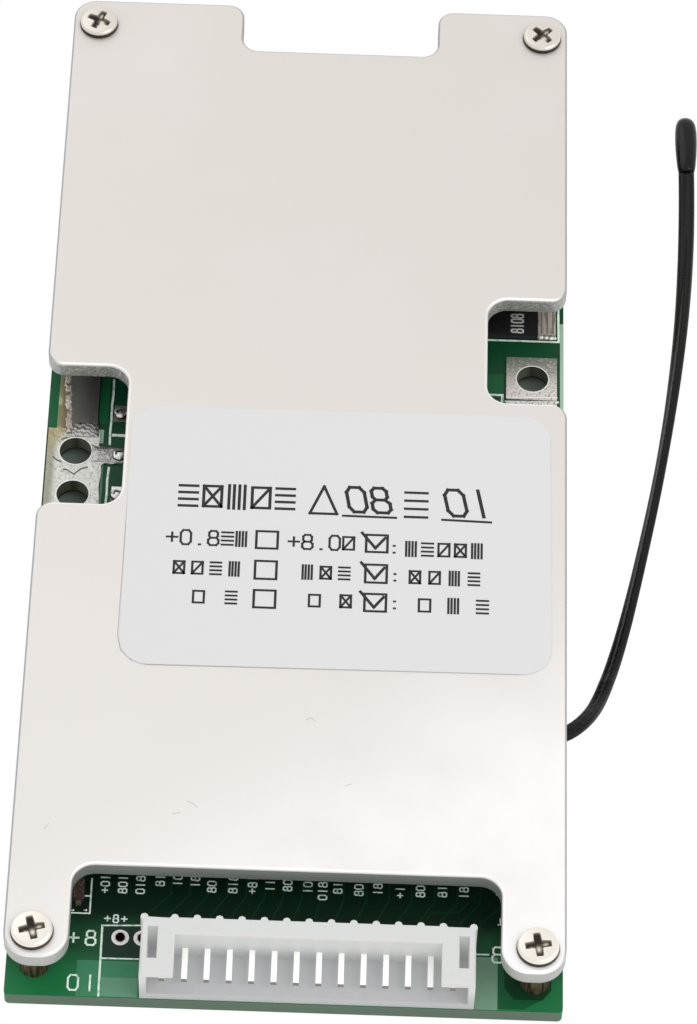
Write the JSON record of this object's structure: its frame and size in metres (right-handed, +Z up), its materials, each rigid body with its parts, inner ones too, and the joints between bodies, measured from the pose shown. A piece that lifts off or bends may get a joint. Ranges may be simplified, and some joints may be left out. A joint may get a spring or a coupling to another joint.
{
  "type": "battery management board",
  "caption": "Battery management board: a green circuit board under an aluminium heat plate on brass standoffs, with a side-entry balance connector and a temperature sensor on a black lead.",
  "frame": {"origin": "middle of the footprint of board and plate, without the sensor lead, on the surface that the lower screw heads stand on", "axes": "+Y from the connector edge to the back, along the length; +Z up through the heat plate; +X to the side that the sensor lead leaves from"},
  "size_m": [0.0798, 0.1394, 0.012],
  "materials": {
    "board": "green solder mask over glass-fibre laminate, satin",
    "plate": "fine matt, clear anodised, slightly grained",
    "screw": "nickel plated steel",
    "brass": "straight knurl, dulled",
    "nylon": "natural nylon, slightly translucent",
    "tin": "tin plated, bright",
    "solder": "solder, bright and uneven",
    "bar": "tinned copper, dulled grey",
    "black_resin": "moulded black resin",
    "pad": "soft heat-conducting pad, grey-blue",
    "ceramic": "buff ceramic",
    "lead": "black flexible insulation, glossy",
    "bead": "black dipped resin, glossy",
    "label": "white film with dark print"
  },
  "bodies": {
    "root": {"balance_bodies": "black_resin", "balance_ends": "solder", "board_screws": "screw", "capacitor_bodies": "ceramic", "capacitor_ends": "solder", "circuit_board": "board", "connector_housing": "nylon", "connector_pins": "tin", "corner_diode": "black_resin", "corner_diode_legs": "solder", "current_bar": "bar", "filter_bodies": "black_resin", "filter_ends": "solder", "heat_plate": "plate", "left_terminal": "solder", "monitor_bodies": "black_resin", "monitor_legs": "tin", "mosfet_bodies": "black_resin", "mosfet_frames": "tin", "pin_solder": "solder", "plate_screws": "screw", "rating_label": "label", "right_terminals": "solder", "sensor_bead": "bead", "sensor_lead": "lead", "sensor_socket": "nylon", "shunt_bodies": "black_resin", "shunt_ends": "tin", "standoffs": "brass", "thermal_pads": "pad", "transistor_bodies": "black_resin", "transistor_legs": "tin"}
  },
  "joints": []
}
